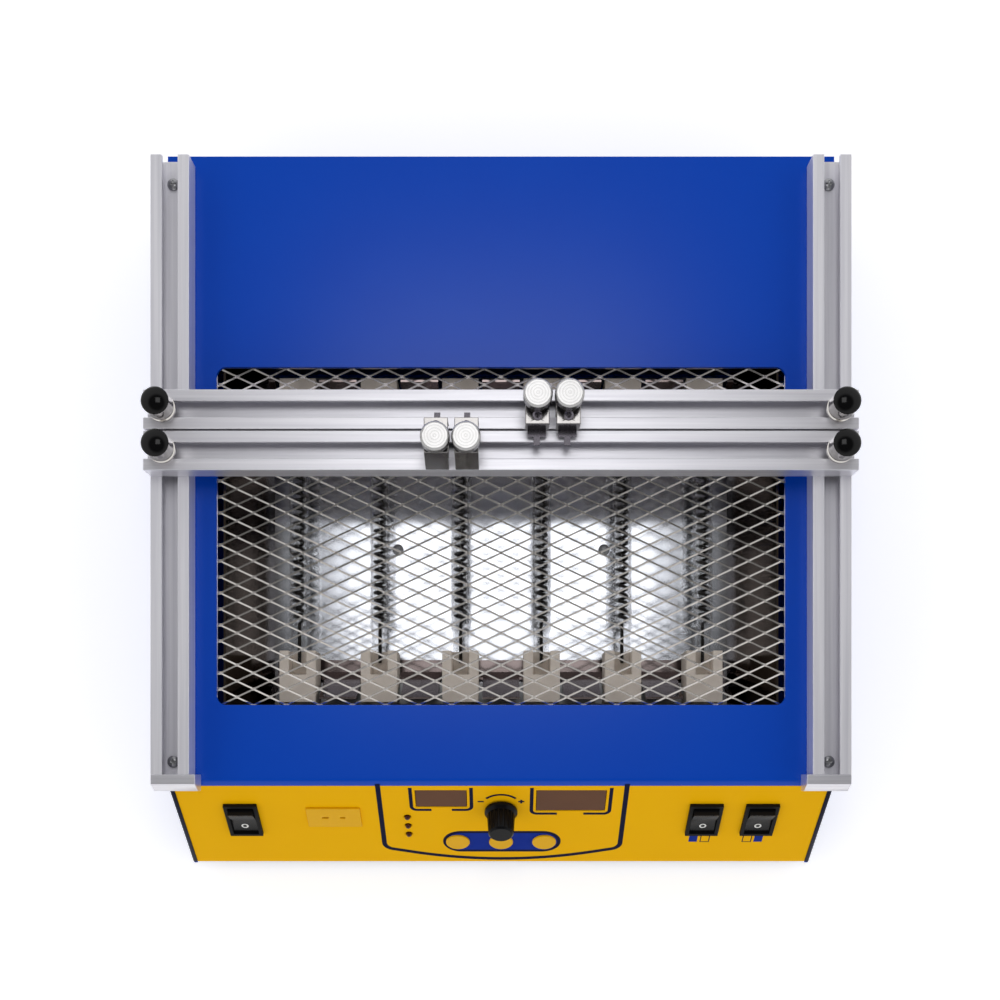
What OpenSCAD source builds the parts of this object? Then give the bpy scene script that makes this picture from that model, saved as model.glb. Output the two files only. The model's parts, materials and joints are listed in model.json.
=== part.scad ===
/* [Body] */
// Width of the painted body across its side walls
body_width = 342; // [336:1:348]
// Depth of the top cover, from its front fold to the rear wall
top_depth = 321.5; // [318:0.5:328]
// Height of the body above its feet
body_height = 60; // [58:1:64]
// How far the sloped front panel reaches forward of the fold
slope_reach = 44.5; // [42:0.5:48]
// Thickness of the painted steel sheet
sheet = 2; // [1.6:0.1:2.2]
// Outer radius of the fold above the front panel
fold_radius = 5; // [4:0.5:6]
// Thickness of the front panel
panel_sheet = 1.5; // [1.2:0.1:1.8]
// Height of the rubber feet
foot_height = 8; // [6:1:10]
// Diameter of the rubber feet
foot_diameter = 20; // [16:1:22]

/* [Heating window] */
// Distance from a side wall of the body to the window
window_side = 25; // [24:0.5:29]
// Depth of the window in the top cover
window_depth = 173.5; // [170:0.5:176]
// Distance from the fold back to the window
window_setback = 40; // [38:0.5:42]
// Corner radius of the window
window_corner = 5; // [3:0.5:8]
// Long way of one mesh diamond
mesh_long = 17; // [15:0.5:19]
// Short way of one mesh diamond
mesh_short = 8.4; // [7.6:0.2:9.4]
// Width of the mesh strands
mesh_strand = 0.9; // [0.8:0.1:1.4]
// Thickness of the mesh
mesh_thickness = 1.2; // [1:0.1:1.5]

/* [Heaters] */
// Distance between neighbouring lamps
heater_pitch = 42.5; // [40:0.5:43]
// Outer diameter of the quartz tubes
tube_diameter = 10.6; // [9.6:0.2:11.2]
// Wall of the quartz tubes
tube_wall = 1.1; // [0.8:0.1:1.3]
// Outer diameter of the heating coils
coil_diameter = 7.2; // [6:0.2:7.2]
// Distance between the turns of a coil
coil_pitch = 4; // [3:0.5:5]
// Number of turns in a coil
coil_turns = 20; // [16:1:21]
// Depth of the lamp axes below the top face
tube_drop = 19; // [18:0.5:20]
// Depth of the reflector floor below the top face
reflector_drop = 42; // [40:0.5:43]
// Half width of the reflector floor
reflector_half = 123; // [121:0.5:125]
// Width of a ceramic lamp block
block_width = 19; // [17:0.5:20]
// Length of a ceramic lamp block
block_length = 27; // [25:0.5:28]
// Height of a ceramic lamp block
block_height = 20; // [18:0.5:20]

/* [Rails and bars] */
// Width of the slotted profile of rails and bars
rail_width = 19.5; // [18.5:0.1:20]
// Height of the slotted profile
rail_height = 14; // [13:0.5:15]
// Opening of the slot
slot_width = 8; // [6.5:0.1:8.5]
// Thickness of the profile under the slot
slot_floor = 5.5; // [4:0.1:5.8]
// Thickness of the lips beside the slot
lip = 2.4; // [2:0.1:2.8]
// Thickness of the profile side walls
wall = 2; // [1.6:0.1:2.4]
// Reach of the rails beyond the side walls
rail_overhang = 5.4; // [4:0.1:6]
// Length of a rail
rail_length = 312; // [306:1:314]
// Distance between the two bars at rest
bar_gap = 0.8; // [0.5:0.1:2]
// Head diameter of a bar lock knob
lock_head = 13.5; // [11:0.5:14]
// Height of a bar lock knob
lock_height = 17.5; // [14:0.5:19]
// Diameter of the threaded studs
stud_diameter = 4; // [3:0.5:5]

/* [Board clamps] */
// Width of a clamp bracket
bracket_width = 11.6; // [10:0.2:12.4]
// Thickness of the bracket sheet
bracket_sheet = 1.5; // [1.2:0.1:1.8]
// Height of a bracket above its bar
bracket_height = 17; // [15:0.5:19]
// Reach of a bracket past the bar edge
bracket_reach = 2; // [1.5:0.1:3]
// Width of the jaw leaf
jaw_width = 9; // [7:0.2:9]
// Diameter of a clamp knob
clamp_knob = 14; // [12:0.5:14.6]
// Height of a clamp knob
clamp_knob_height = 12; // [10:0.5:14]

/* [Controls] */
// Width of a rocker bezel
bezel_width = 17.5; // [16.5:0.1:19]
// Length of a rocker bezel
bezel_length = 27; // [26:0.1:29]
// Angle between the two positions of a rocker
rocker_throw = 22; // [16:1:22]
// Diameter of the round buttons
button_diameter = 13; // [11:0.5:14]
// Distance between neighbouring buttons
button_pitch = 23.5; // [21:0.5:24]
// Travel of the round buttons
button_travel = 0.6; // [0.3:0.1:0.8]
// Diameter of the adjusting knob
adjust_diameter = 13.4; // [12:0.2:15]
// Height of the adjusting knob above the panel
adjust_height = 16; // [14:0.5:18]

/* [Hidden] */
$fn = 64;
// clearances
fit = 0.05;
free = 0.3;
loose = 0.8;
eps = 0.01;
// overshoot of a cut past the face that it leaves
cut = 1;
// screws
screw_bore = 3;
screw_head = 6;
screw_spare = 2;
// heights
z_floor = foot_height;
z_top = z_floor + body_height;
z_under = z_top - sheet;
z_pan = z_floor + sheet;
z_mesh = z_under - mesh_thickness;
z_rail = z_top + rail_height;
z_bar = z_rail + rail_height;
z_reflector = z_top - reflector_drop;
z_lamp = z_top - tube_drop;
z_block = z_lamp + 7 - block_height;
// depths
inlet_flange = 2;
y_front = -(slope_reach + top_depth + inlet_flange) / 2;
y_fold = y_front + slope_reach;
y_rear = y_fold + top_depth;
y_window = y_fold + window_setback + window_depth / 2;
y_rail = y_fold + 4.3;
y_rear_bar = y_window + 57.4;
y_front_bar = y_rear_bar - rail_width - bar_gap;
// widths
inner = body_width / 2 - sheet;
window_width = body_width - 2 * window_side;
rail_x = body_width / 2 + rail_overhang - rail_width / 2;
bar_length = 2 * rail_x + rail_width;
// front panel frame
slope_angle = atan2(slope_reach, body_height);
slope_length = norm([slope_reach, body_height]);
fold_setback = fold_radius * tan((90 - slope_angle) / 2);
// places on the front panel: across, then down from the fold
display_t = 6.6;
set_display = [-31.3, 27, 15];
sensor_display = [36.6, 36.6, 18.4];
adjust_t = 24.1;
rocker_t = 32;
rocker_x = [32 - inner, inner - 61, inner - 31.5];
board_half = 68;
board_t = [5, 59];
socket_at = [-board_half - 20.6, 30];
socket_size = [28.5, 16.5, 1.1];
socket_body = [socket_size[0] - 4.6, socket_size[1] - 4.6, 14];
led_x = -49.7;
led_t = [30.3, 38.3, 46.2];
led_diameter = 3;
button_t = 53.7;
board_out = -12.4;
board_sheet = 1.6;
tact_height = 4;
bush_diameter = 8;
shaft_diameter = 6;
lens_flange = 1.5;
// reflector and mesh
mesh_border = 7;
reflector_sheet = 1;
reflector_top = window_width / 2 - 4;
reflector_ends_y = window_depth / 2 + mesh_border;
end_foot = 66;
end_slant = 16;
end_height = 32;
shelf_depth = 11.5;
block_out = 84.6;
recess = 12.5;
tube_half = block_out - block_length - 8;
lamp_half = block_out - block_length + recess - 0.5;
bore_half = tube_half - 4;
pinch = [8.4, 2.6];
lamp_x = [for (i = [-2.5:1:2.5]) i * heater_pitch];
// rails, bars and clamps
rail_screw_y = [y_rail + 6.5, y_rail + rail_length - 12];
nut_height = 4;
nut_width = rail_width - 2 * wall - 0.9;
nut_length = 11;
stop_length = 22.5;
stop_depth = 5;
stop_toe = 3.4;
stud_spare = 1;
lock_flange = 13.5;
lock_dome = 2.2;
clamp_rear_x = [17.5, 32.5];
clamp_front_x = [-31.3, -16.6];
plate_out = rail_width / 2 + bracket_reach;
leg_gap = 5;
jaw_sheet = 1;
jaw_rise = 3.4;
jaw_reach = plate_out + 3;
tongue_width = 3;
tongue_reach = 3.4;
jaw_screw = 4.7;
jaw_screw_y = plate_out - 4;
// rocker
pocket_width = bezel_width - 3.8;
pocket_length = bezel_length - 3.6;
rocker_half = pocket_length / 2 - 1;
rocker_pivot = -2;
bezel_height = 2;
housing = [bezel_width - 2.2, bezel_length - 2.2, 22];
pocket_depth = 11;
pin_diameter = 3;
pin_length = pocket_width + 0.8;
// standing posts and screws
post_x = reflector_half - 11;
reflector_posts = [[-post_x / 2, 0], [post_x / 2, 0], [-post_x, 0], [post_x, 0]];
cover_screw_y = [y_fold + 6, y_window + 20, y_rear - 20];
cover_screw_z = z_floor + 8;
post_thread = 8;
foot_recess = 4;
foot_x = inner - 22;
foot_y = [y_front + 26, y_rear - 24];
inlet_x = inner - 64;
inlet_z = z_floor + 32;
inlet_body = [27.4, 19.8];
// room behind the lamps
shield_y = reflector_ends_y + 7;
shield_sheet = 1;
shield_foot = 11;
y_room = y_window + shield_y + shield_sheet / 2;
room_depth = y_rear - sheet - y_room;
board_z = z_pan + 8;
power_x = -30;
power_y = y_room + room_depth / 2;
power_size = [150, room_depth - 15.5];
sink_size = [60, 28, 34];
sink_x = inner - 69;
sink_y = y_room + shield_foot + 1.5 + sink_size[1] / 2;

// places children on the sloped panel: x across, y up the slope, z outward
module on_panel(x = 0, t = 0, out = 0) {
  translate([0, y_fold, z_top])
    rotate([90 - slope_angle, 0, 0])
      translate([x, -t, out])
        children();
}

// box centred across and along, standing on z = 0
module slab(size) {
  translate([-size[0] / 2, -size[1] / 2, 0])
    cube(size);
}

// flat rounded rectangle, centred
module rounded(width, depth, radius) {
  union() {
    square([width - 2 * radius, depth], center = true);
    square([width, depth - 2 * radius], center = true);
    for (x = [-1, 1])
      for (y = [-1, 1])
        translate([x * (width / 2 - radius), y * (depth / 2 - radius)])
          circle(radius);
  }
}

// draws a side view, depth across and height up, and extrudes it across the body
module across(width) {
  translate([-width / 2, 0, 0])
    rotate([90, 0, 90])
      linear_extrude(height = width)
        children();
}

// draws an end view, width across and height up, and extrudes it along the depth
module along(depth) {
  translate([0, depth / 2, 0])
    rotate([90, 0, 0])
      linear_extrude(height = depth)
        children();
}

module pan_screw(head, length) {
  union() {
    rotate_extrude()
      intersection() {
        translate([0, -head * 0.35])
          circle(head * 0.72);
        square([head / 2, head * 0.34]);
      }
    translate([0, 0, -length])
      cylinder(d = head / 2, h = length + eps);
  }
}

module driven_screw(head, length) {
  difference() {
    pan_screw(head, length);
    for (turn = [0, 90])
      rotate(turn)
        translate([0, 0, head * 0.2])
          slab([head * 0.55, head * 0.12, head]);
  }
}

// body
module body_side() {
  union() {
    polygon([
      [y_front, z_floor],
      [y_fold - fold_setback * sin(slope_angle), z_top - fold_setback * cos(slope_angle)],
      [y_fold + fold_setback, z_top],
      [y_rear, z_top],
      [y_rear, z_floor]
    ]);
    intersection() {
      translate([y_fold + fold_setback, z_top - fold_radius])
        circle(fold_radius);
      fold_wedge();
    }
  }
}

module fold_wedge() {
  polygon([
    [y_fold + fold_setback, z_top - fold_radius],
    [y_fold - fold_setback * sin(slope_angle), z_top - fold_setback * cos(slope_angle)],
    [y_fold, z_top],
    [y_fold + fold_setback, z_top]
  ]);
}

module cover_top() {
  union() {
    translate([y_fold + fold_setback, z_under])
      square([top_depth - fold_setback, sheet]);
    intersection() {
      translate([y_fold + fold_setback, z_top - fold_radius])
        difference() {
          circle(fold_radius);
          circle(fold_radius - sheet);
        }
      fold_wedge();
    }
  }
}

module top_cover() {
  color("royalblue")
    difference() {
      union() {
        across(body_width)
          cover_top();
        for (side = [-1, 1])
          translate([side * (body_width - sheet) / 2, 0, 0])
            across(sheet)
              body_side();
      }
      translate([0, y_window, z_under - cut])
        linear_extrude(height = sheet + 2 * cut)
          rounded(window_width, window_depth, window_corner);
      for (side = [-1, 1])
        for (y = rail_screw_y)
          translate([side * rail_x, y, z_under - cut])
            cylinder(d = screw_bore, h = sheet + 2 * cut);
      for (y = cover_screw_y)
        translate([0, y, cover_screw_z])
          rotate([0, 90, 0])
            cylinder(d = screw_bore, h = body_width + 2 * cut, center = true);
    }
}

// point in the side view: t down the slope from the fold, out along its normal
function slope_point(t, out) = [
  y_fold - t * sin(slope_angle) - out * cos(slope_angle),
  z_top - t * cos(slope_angle) + out * sin(slope_angle)
];

// how far down the slope a layer at this depth reaches a given height
function slope_t(z, out) = (z_top - z + out * sin(slope_angle)) / cos(slope_angle);

module bottom_pan() {
  flange = 16;
  front_lip = 12;
  vent_width = 4;
  vent_pitch = 10;
  vent_length = 40;
  vent_height = 30;
  face = -panel_sheet;
  back = face - sheet;
  foot_t = slope_t(z_floor, face);
  color("royalblue")
    difference() {
      union() {
        across(2 * inner)
          polygon([
            slope_point(foot_t, face),
            slope_point(foot_t - front_lip, face),
            slope_point(foot_t - front_lip, back),
            slope_point(slope_t(z_pan, back), back),
            [y_rear - sheet, z_pan],
            [y_rear - sheet, z_under],
            [y_rear, z_under],
            [y_rear, z_floor]
          ]);
        for (side = [-1, 1])
          translate([side * (inner - sheet / 2), y_fold + (top_depth - sheet / 2) / 2, z_floor])
            slab([sheet, top_depth - sheet / 2, flange]);
      }
      for (side = [-1, 1])
        for (y = foot_y)
          translate([side * foot_x, y, z_floor - cut])
            cylinder(d = screw_bore, h = sheet + 2 * cut);
      for (y = cover_screw_y)
        translate([0, y, cover_screw_z])
          rotate([0, 90, 0])
            cylinder(d = screw_bore, h = body_width, center = true);
      for (x = [-110:vent_pitch:-10])
        translate([x - vent_width / 2, y_rear - 62, z_floor - cut])
          cube([vent_width, vent_length, sheet + 2 * cut]);
      for (x = [-130:vent_pitch:40])
        translate([x - vent_width / 2, y_rear - sheet - cut, z_floor + flange])
          cube([vent_width, sheet + 2 * cut, vent_height]);
      translate([inlet_x, y_rear, inlet_z])
        cube([inlet_body[0] + 2 * free, 2 * sheet + cut, inlet_body[1] + 2 * free], center = true);
    }
}

module front_panel() {
  color("gold")
    on_panel(0, 0, -panel_sheet)
      difference() {
        translate([-inner, -slope_length + 1, 0])
          cube([2 * inner, slope_length - 1 - fold_setback, panel_sheet]);
        translate([set_display[0], -display_t - set_display[2] / 2, -cut])
          slab([set_display[1], set_display[2], panel_sheet + 2 * cut]);
        translate([sensor_display[0], -display_t - sensor_display[2] / 2, -cut])
          slab([sensor_display[1], sensor_display[2], panel_sheet + 2 * cut]);
        for (x = rocker_x)
          translate([x, -rocker_t, -cut])
            slab([housing[0] + 4 * fit, housing[1] + 4 * fit, panel_sheet + 2 * cut]);
        translate([socket_at[0], -socket_at[1], -cut])
          slab([socket_body[0] + 2 * free, socket_body[1] + 2 * free, panel_sheet + 2 * cut]);
        for (t = led_t)
          translate([led_x, -t, -cut])
            cylinder(d = led_diameter + 2 * free, h = panel_sheet + 2 * cut);
        for (i = [-1, 0, 1])
          translate([i * button_pitch, -button_t, -cut])
            cylinder(d = button_diameter + 2 * free, h = panel_sheet + 2 * cut);
        translate([0, -adjust_t, -cut])
          cylinder(d = bush_diameter + 1, h = panel_sheet + 2 * cut);
      }
}

// heating window
module mesh_hole() {
  strand_run = mesh_strand * norm([mesh_long, mesh_short]) / 2;
  half_long = mesh_long / 2 - strand_run / mesh_short;
  half_short = mesh_short / 2 - strand_run / mesh_long;
  polygon([[-half_long, 0], [0, -half_short], [half_long, 0], [0, half_short]]);
}

module mesh_guard() {
  columns = floor((window_width + 6) / mesh_long / 2 - 0.5);
  rows = floor((window_depth + 6) / mesh_short / 2 - 0.5);
  color("silver")
    translate([0, y_window, z_mesh])
      linear_extrude(height = mesh_thickness)
        difference() {
          square([window_width + 2 * mesh_border, window_depth + 2 * mesh_border], center = true);
          for (i = [-columns:columns])
            for (j = [-rows:rows])
              translate([i * mesh_long, j * mesh_short])
                mesh_hole();
          for (i = [-columns - 0.5:columns + 0.5])
            for (j = [-rows - 0.5:rows + 0.5])
              translate([i * mesh_long, j * mesh_short])
                mesh_hole();
        }
}

// reflector
module reflector_pan() {
  slant = atan2(reflector_top - reflector_half, z_mesh - free - z_reflector);
  step = reflector_sheet * tan(45 - slant / 2);
  bend = [
    [reflector_half, z_reflector],
    [reflector_top, z_mesh - free],
    [reflector_top + reflector_sheet / cos(slant), z_mesh - free],
    [reflector_half + step, z_reflector - reflector_sheet]
  ];
  color("gainsboro")
    translate([0, y_window, 0])
      difference() {
        along(2 * reflector_ends_y)
          polygon(concat(bend, [for (i = [3:-1:0]) [-bend[i][0], bend[i][1]]]));
        for (at = reflector_posts)
          translate([at[0], at[1], z_reflector - 2 * reflector_sheet])
            cylinder(d = screw_bore, h = 3 * reflector_sheet);
      }
}

module end_strip() {
  half = reflector_half - 2;
  toe = 6;
  sill = 8;
  gap = 2;
  skew = reflector_sheet / cos(atan2(end_slant, end_height));
  difference() {
    translate([0, end_foot, z_reflector])
      across(2 * half)
        polygon([
          [-toe, 0],
          [skew, 0],
          [skew + end_slant, end_height],
          [end_slant, end_height],
          [end_slant * reflector_sheet / end_height, reflector_sheet],
          [-toe, reflector_sheet]
        ]);
    for (x = lamp_x)
      translate([x, end_foot + end_slant / 2, z_reflector + sill])
        slab([block_width + 2 * gap, 2 * end_slant, end_height]);
  }
}

module reflector_ends() {
  color("gainsboro")
    translate([0, y_window, 0])
      for (side = [0, 1])
        mirror([0, side, 0])
          end_strip();
}

module lamp_brackets() {
  half = reflector_half - 4;
  shelf_sheet = 1.5;
  rise = z_block - z_reflector;
  color("darkgray")
    translate([0, y_window, 0])
      for (side = [0, 1])
        mirror([0, side, 0])
          translate([0, block_out - shelf_depth / 2, z_reflector])
            difference() {
              slab([2 * half, shelf_depth, rise]);
              translate([0, 0, -eps])
                slab([2 * half + 2 * cut, shelf_depth - 2 * shelf_sheet, rise - shelf_sheet]);
            }
}

module ceramic_block() {
  notch = [4, 3, block_height / 2];
  notch_back = 7;
  difference() {
    translate([-block_width / 2, block_out - block_length, z_block])
      cube([block_width, block_length, block_height]);
    translate([0, block_out - block_length + (recess - cut) / 2, z_lamp - pinch[1] / 2])
      slab([pinch[0] + 2 * free, recess + cut, block_height]);
    for (side = [-1, 1])
      translate([side * block_width / 2, block_out - notch_back, z_block - cut])
        slab(notch);
  }
}

module ceramic_blocks() {
  color("antiquewhite")
    translate([0, y_window, 0])
      for (side = [0, 1])
        mirror([0, side, 0])
          for (x = lamp_x)
            translate([x, 0, 0])
              ceramic_block();
}

module quartz_tube() {
  difference() {
    union() {
      translate([0, 0, z_lamp])
        rotate([90, 0, 0])
          cylinder(d = tube_diameter, h = 2 * tube_half, center = true);
      translate([0, 0, z_lamp - pinch[1] / 2])
        slab([pinch[0], 2 * lamp_half, pinch[1]]);
    }
    translate([0, 0, z_lamp])
      rotate([90, 0, 0])
        cylinder(d = tube_diameter - 2 * tube_wall, h = 2 * bore_half, center = true);
  }
}

module quartz_tubes() {
  color("lightcyan")
    translate([0, y_window, 0])
      for (x = lamp_x)
        translate([x, 0, 0])
          quartz_tube();
}

module heater_coil() {
  wire = 1.1;
  core = 0.4;
  mean = coil_diameter / 2 - wire / 2;
  half = coil_turns * coil_pitch / 2;
  turns = [for (i = [0:coil_turns]) i * coil_pitch - half];
  ridges = [
    for (z = turns)
      for (k = [-1, -0.5, 0.5, 1])
        [mean + (abs(k) < 1 ? wire / 2 : 0), z + k * wire / 2]
  ];
  union() {
    rotate_extrude()
      polygon(concat([[mean - core, -half - wire / 2]], ridges, [[mean - core, half + wire / 2]]));
    for (side = [0, 1])
      mirror([0, 0, side])
        union() {
          translate([-wire / 2, -wire / 2, half - wire / 2])
            cube([mean + wire / 2, wire, wire]);
          translate([0, 0, half])
            cylinder(d = wire, h = bore_half - half);
        }
  }
}

module heater_coils() {
  color("dimgray")
    translate([0, y_window, z_lamp])
      for (x = lamp_x)
        translate([x, 0, 0])
          rotate([90, 0, 0])
            heater_coil();
}

module lamp_terminals() {
  lug = [9, 0.8, 7];
  rivet = [4.4, 1.6];
  color("silver")
    translate([0, y_window, 0])
      for (side = [0, 1])
        mirror([0, side, 0])
          for (x = lamp_x)
            translate([x, block_out, z_block + block_height / 2])
              union() {
                translate([-lug[0] / 2, 0, -lug[2] / 2])
                  cube(lug);
                translate([0, lug[1] - eps, 0])
                  rotate([-90, 0, 0])
                    cylinder(d = rivet[0], h = rivet[1]);
              }
}

module standoffs() {
  reflector_post = 8;
  power_post = 6;
  panel_post = 5;
  power_inset = [13, 8];
  panel_inset = 6;
  color("silver")
    union() {
      for (at = reflector_posts)
        translate([at[0], y_window + at[1], z_pan])
          difference() {
            cylinder(d = reflector_post, h = z_reflector - reflector_sheet - z_pan);
            translate([0, 0, 4])
              cylinder(d = screw_bore, h = z_reflector - z_pan);
          }
      for (x = [-1, 1])
        for (y = [-1, 1])
          translate([
            power_x + x * (power_size[0] / 2 - power_inset[0]),
            power_y + y * (power_size[1] / 2 - power_inset[1]),
            z_pan
          ])
            cylinder(d = power_post, h = board_z - z_pan);
      for (x = [panel_inset - board_half, board_half - panel_inset])
        for (t = [board_t[0] + 5, board_t[1] - 7])
          on_panel(x, t, board_out)
            cylinder(d = panel_post, h = -board_out - panel_sheet);
    }
}

module pan_screws() {
  color("silver")
    union() {
      for (side = [-1, 1]) {
        for (y = rail_screw_y)
          translate([side * rail_x, y, z_top + slot_floor])
            driven_screw(screw_head, slot_floor + sheet + screw_spare);
        for (y = cover_screw_y)
          translate([side * body_width / 2, y, cover_screw_z])
            rotate([0, side * 90, 0])
              driven_screw(screw_head, 2 * sheet + screw_spare);
        for (y = foot_y)
          translate([side * foot_x, y, foot_recess])
            rotate([180, 0, 0])
              driven_screw(screw_head, foot_height - foot_recess + sheet + screw_spare);
      }
      for (at = reflector_posts)
        translate([at[0], y_window + at[1], z_reflector])
          driven_screw(screw_head, post_thread);
    }
}

// rails and bars
module slotted_profile() {
  difference() {
    translate([-rail_width / 2, 0])
      square([rail_width, rail_height]);
    translate([-rail_width / 2 + wall, slot_floor])
      square([rail_width - 2 * wall, rail_height - slot_floor - lip]);
    translate([-slot_width / 2, slot_floor])
      square([slot_width, rail_height]);
  }
}

module rail(side) {
  difference() {
    translate([side * rail_x, y_rail + rail_length / 2, z_top])
      along(rail_length)
        slotted_profile();
    for (y = rail_screw_y)
      translate([side * rail_x, y, z_top - cut])
        cylinder(d = screw_bore, h = slot_floor + 2 * cut);
  }
}

module rail_left() {
  color("lightgray")
    rail(-1);
}

module rail_right() {
  color("lightgray")
    rail(1);
}

module rail_stops() {
  color("silver")
    for (side = [-1, 1])
      translate([side * (rail_x + (rail_width - stop_length) / 2), y_rail, z_top])
        across(stop_length)
          polygon([
            [0, 0],
            [0, rail_height],
            [-stop_depth, rail_height],
            [-stop_depth - stop_toe, rail_height / 2],
            [-stop_depth - stop_toe, 0]
          ]);
}

module bar(y) {
  difference() {
    translate([0, y, z_rail])
      rotate(90)
        along(bar_length)
          slotted_profile();
    for (side = [-1, 1])
      translate([side * rail_x, y, z_rail - cut])
        cylinder(d = stud_diameter + 2 * loose, h = slot_floor + 2 * cut);
  }
}

module rear_bar() {
  color("lightgray")
    bar(y_rear_bar);
}

module front_bar() {
  color("lightgray")
    bar(y_front_bar);
}

module slot_nut() {
  difference() {
    translate([0, 0, -nut_height])
      slab([nut_width, nut_length, nut_height]);
    translate([0, 0, -nut_height - cut])
      cylinder(d = stud_diameter + 2 * fit, h = nut_height + 2 * cut);
  }
}

module bar_nuts(y) {
  for (side = [-1, 1])
    translate([side * rail_x, y, z_rail - lip])
      slot_nut();
}

module rear_bar_nuts() {
  color("darkgray")
    bar_nuts(y_rear_bar);
}

module front_bar_nuts() {
  color("darkgray")
    bar_nuts(y_front_bar);
}

module lock_knob(side, y) {
  neck = 9;
  shoulder = 5;
  flange = 3;
  chamfer = 0.6;
  ball = (pow(lock_head / 2, 2) + pow(lock_dome, 2)) / (2 * lock_dome);
  stud = rail_height + lip + nut_height + stud_spare;
  color("dimgray")
    translate([side * rail_x, y, z_bar])
      union() {
        rotate_extrude()
          union() {
            square([lock_flange / 2 - chamfer, flange]);
            translate([0, chamfer])
              square([lock_flange / 2, flange - 2 * chamfer]);
            square([neck / 2, shoulder + chamfer]);
            translate([0, shoulder])
              square([lock_head / 2, lock_height - shoulder - lock_dome]);
            intersection() {
              translate([0, lock_height - ball])
                circle(ball);
              translate([0, lock_height - lock_dome - eps])
                square([lock_head / 2, lock_dome + cut]);
            }
          }
        translate([0, 0, -stud])
          cylinder(d = stud_diameter, h = stud + eps);
      }
}

module lock_knob_rear_left() {
  lock_knob(-1, y_rear_bar);
}

module lock_knob_rear_right() {
  lock_knob(1, y_rear_bar);
}

module lock_knob_front_left() {
  lock_knob(-1, y_front_bar);
}

module lock_knob_front_right() {
  lock_knob(1, y_front_bar);
}

// board clamps: y is toward the other bar, z is up from the bar's top face
module at_clamp(place, x) {
  translate([x, place > 0 ? y_rear_bar : y_front_bar, z_bar])
    rotate(place > 0 ? 180 : 0)
      children();
}

module bracket() {
  back = rail_width / 2;
  shoulder = clamp_knob / 2 - 1.8;
  lean = (back - shoulder) / bracket_height;
  leg = bracket_sheet * norm([1, lean]);
  under = bracket_height - bracket_sheet;
  color("silver")
    difference() {
      across(bracket_width)
        polygon([
          [plate_out - bracket_sheet, leg_gap],
          [plate_out, leg_gap],
          [plate_out, bracket_height],
          [-shoulder, bracket_height],
          [-back, 0],
          [leg - back, 0],
          [leg - back + lean * under, under],
          [plate_out - bracket_sheet, under]
        ]);
      translate([0, 0, bracket_height - 2 * bracket_sheet])
        cylinder(d = stud_diameter + 2 * loose, h = 3 * bracket_sheet);
      translate([0, jaw_screw_y, bracket_height - 2 * bracket_sheet])
        cylinder(d = jaw_screw / 2 + fit, h = 3 * bracket_sheet);
    }
}

module jaw() {
  back = plate_out - bracket_sheet;
  hook = 6;
  under = bracket_height - bracket_sheet;
  color("silver")
    union() {
      across(jaw_width)
        polygon([
          [back - hook, under],
          [back, under],
          [back, jaw_rise + jaw_sheet],
          [jaw_reach, jaw_rise + jaw_sheet],
          [jaw_reach, jaw_rise],
          [back - jaw_sheet, jaw_rise],
          [back - jaw_sheet, under - jaw_sheet],
          [back - hook, under - jaw_sheet]
        ]);
      across(tongue_width)
        polygon([
          [jaw_reach - jaw_sheet, jaw_rise + jaw_sheet],
          [jaw_reach, jaw_rise + jaw_sheet],
          [jaw_reach + tongue_reach, loose + jaw_sheet],
          [jaw_reach + tongue_reach, loose],
          [jaw_reach - jaw_sheet, jaw_rise]
        ]);
      translate([0, jaw_screw_y, bracket_height])
        driven_screw(jaw_screw, bracket_sheet + jaw_sheet);
    }
}

module clamp_nut() {
  color("darkgray")
    translate([0, 0, -lip])
      rotate(90)
        slot_nut();
}

module clamp_knob_body() {
  foot = 2;
  disc = 6.5;
  chamfer = 1;
  foot_radius = clamp_knob / 2 - 2;
  neck_radius = clamp_knob / 2 - 3;
  neck = clamp_knob_height - disc;
  stud = bracket_height + lip + nut_height + stud_spare;
  color("gainsboro")
    translate([0, 0, bracket_height])
      union() {
        rotate_extrude()
          polygon([
            [0, 0],
            [foot_radius, 0],
            [foot_radius, foot],
            [neck_radius, foot],
            [neck_radius, neck],
            [clamp_knob / 2, neck],
            [clamp_knob / 2, clamp_knob_height - chamfer],
            [clamp_knob / 2 - chamfer, clamp_knob_height],
            [0, clamp_knob_height]
          ]);
        translate([0, 0, -stud])
          cylinder(d = stud_diameter, h = stud + eps);
      }
}

// controls on the front panel
module switch_housing() {
  difference() {
    union() {
      slab([bezel_width, bezel_length, bezel_height]);
      translate([0, 0, -housing[2]])
        slab([housing[0], housing[1], housing[2] + eps]);
    }
    translate([0, 0, -pocket_depth])
      slab([pocket_width, pocket_length, pocket_depth + bezel_height + cut]);
    translate([0, 0, rocker_pivot])
      rotate([0, 90, 0])
        cylinder(d = pin_diameter + 2 * fit, h = pin_length + 8 * fit, center = true);
  }
}

module switch_housings() {
  color("black")
    for (x = rocker_x)
      on_panel(x, rocker_t)
        switch_housing();
}

module rocker(x) {
  dish = rocker_half * tan(rocker_throw / 2);
  width = pocket_width - 2 * free;
  crest = 2.8;
  heel = -0.5;
  belly = -4;
  color("black")
    on_panel(x, rocker_t, rocker_pivot)
      rotate([rocker_throw / 2, 0, 0])
        union() {
          across(width)
            polygon([
              [-rocker_half, crest + dish],
              [0, crest],
              [rocker_half, crest + dish],
              [rocker_half, heel],
              [rocker_half / 2, belly],
              [-rocker_half / 2, belly],
              [-rocker_half, heel]
            ]);
          rotate([0, 90, 0])
            cylinder(d = pin_diameter, h = pin_length, center = true);
        }
}

module main_rocker() {
  rocker(rocker_x[0]);
}

module zone_rocker_left() {
  rocker(rocker_x[1]);
}

module zone_rocker_right() {
  rocker(rocker_x[2]);
}

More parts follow.
